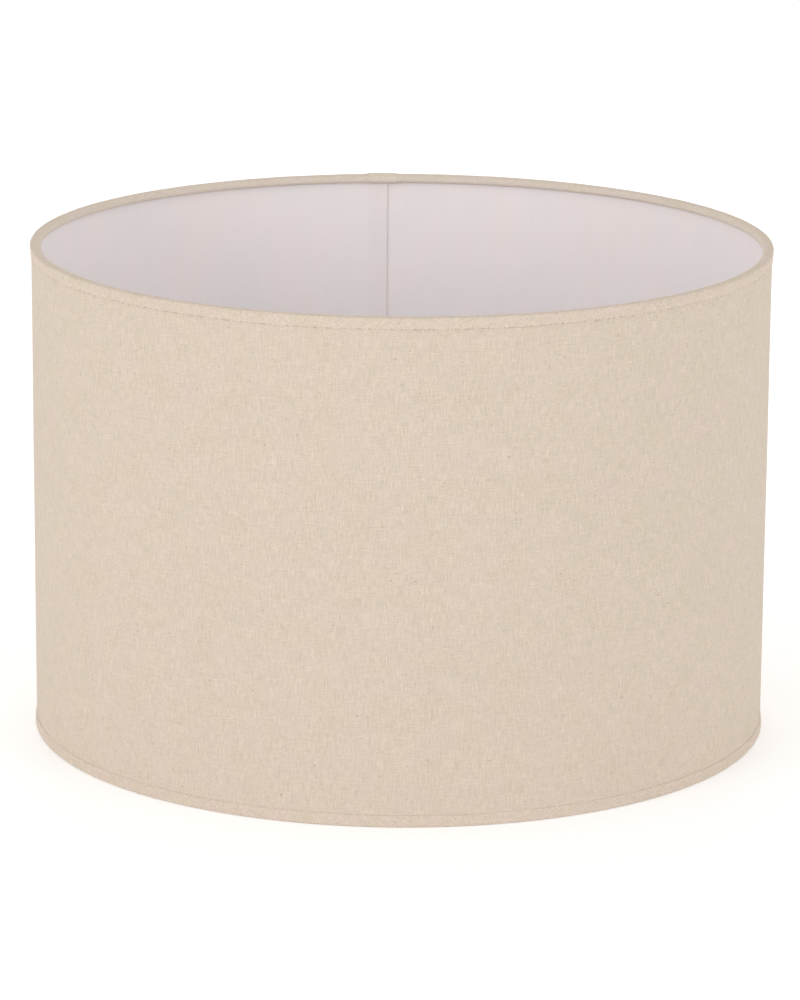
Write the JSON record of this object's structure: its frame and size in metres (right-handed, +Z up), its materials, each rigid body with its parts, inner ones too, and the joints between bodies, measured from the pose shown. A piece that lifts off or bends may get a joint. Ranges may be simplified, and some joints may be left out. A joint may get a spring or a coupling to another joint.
{
  "type": "lamp shade",
  "caption": "Round drum lamp shade in undyed woven cloth on a white lining, with taped rims, a recessed three-armed wire fitter and a loose reducer ring.",
  "frame": {"origin": "centre of the lower rim, on the surface that the shade stands on", "axes": "+Z up along the drum's axis, +Y to the back, where the panel laps, -Y to the front, +X to the right seen from the front"},
  "size_m": [0.45, 0.4516, 0.3],
  "materials": {
    "undyed_cloth": "plain-woven undyed cotton and linen with slubs and small dark seed flecks, matt",
    "white_lining": "white self-adhesive lampshade backing, smooth and matt, slightly translucent",
    "clear_tape": "double-sided adhesive tape",
    "rim_tape_cloth": "the cover's own cloth cut on the bias, rolled over the rim and glued",
    "white_coated_steel": "white powder coat",
    "white_plastic": "moulded plastic, satin"
  },
  "bodies": {
    "shade": {"fabric_cover": "undyed_cloth", "liner_panel": "white_lining", "seam_tape": "clear_tape", "top_ring": "white_coated_steel", "bottom_ring": "white_coated_steel", "top_trim": "rim_tape_cloth", "bottom_trim": "rim_tape_cloth", "fitter_arm_1": "white_coated_steel", "fitter_arm_2": "white_coated_steel", "fitter_arm_3": "white_coated_steel", "fitter_ring": "white_coated_steel"},
    "reducer": {"reducer_ring": "white_plastic"}
  },
  "joints": [
    {"name": "reducer_lift", "type": "slide", "parent": "shade", "child": "reducer", "axis": [0, 0, 1], "range_m": [0, 0.05]}
  ]
}
